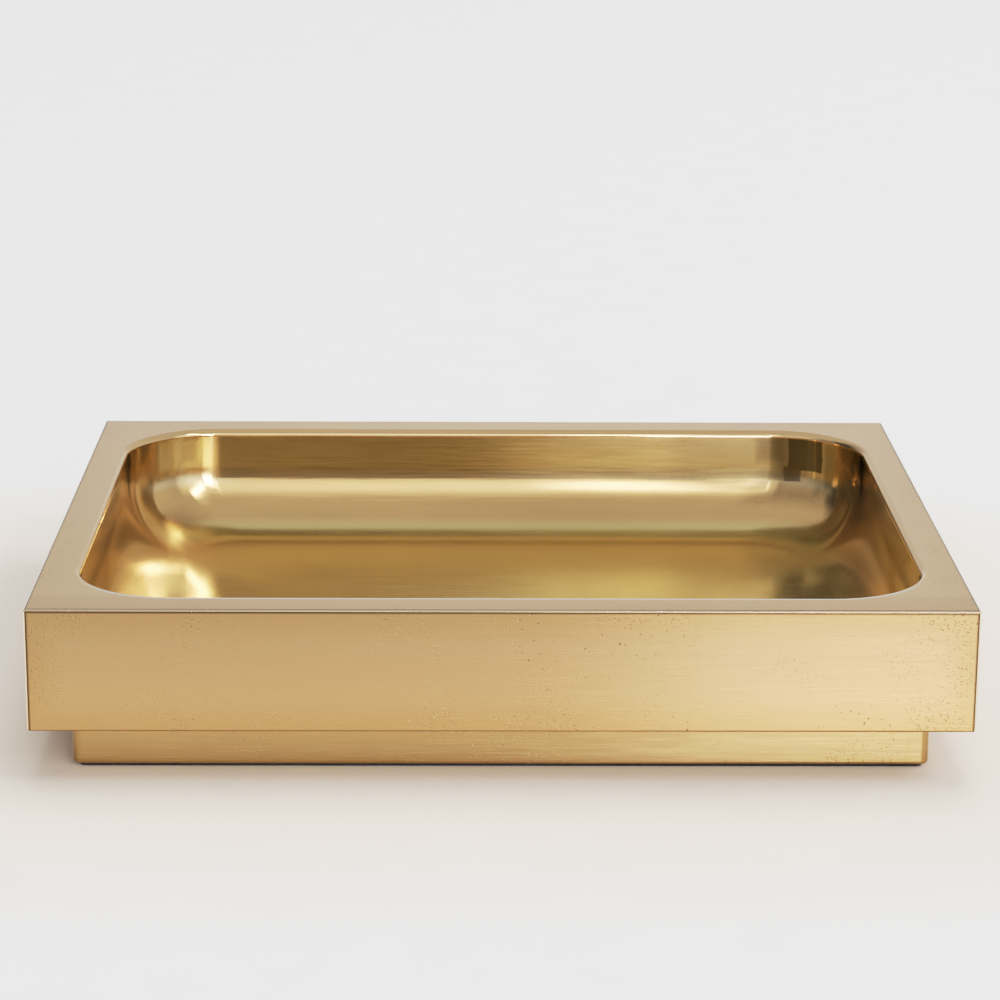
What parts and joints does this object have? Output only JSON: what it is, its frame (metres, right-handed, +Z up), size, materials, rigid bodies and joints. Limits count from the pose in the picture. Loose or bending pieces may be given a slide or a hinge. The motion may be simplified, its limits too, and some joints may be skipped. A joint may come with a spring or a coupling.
{
  "type": "coin tray",
  "caption": "Rectangular brass coin tray: a block with a broad flat rim and a deep coved basin, on a stepped plinth with a thin pad beneath.",
  "frame": {"origin": "middle of the pad's underside, on the surface that the tray stands on", "axes": "+X along the tray's width to the right, +Y from the front to the back, +Z up out of the basin"},
  "size_m": [0.18, 0.144, 0.0342],
  "materials": {
    "body_brass": "satin brushed faces and rim, hand-polished basin",
    "plinth_brass": "satin, coarser brushing",
    "screw_brass": "bright turned",
    "pad_felt": "thin black pressed felt"
  },
  "bodies": {
    "root": {"tray_body": "body_brass", "plinth": "plinth_brass", "plinth_screws": "screw_brass", "base_pad": "pad_felt"}
  },
  "joints": []
}
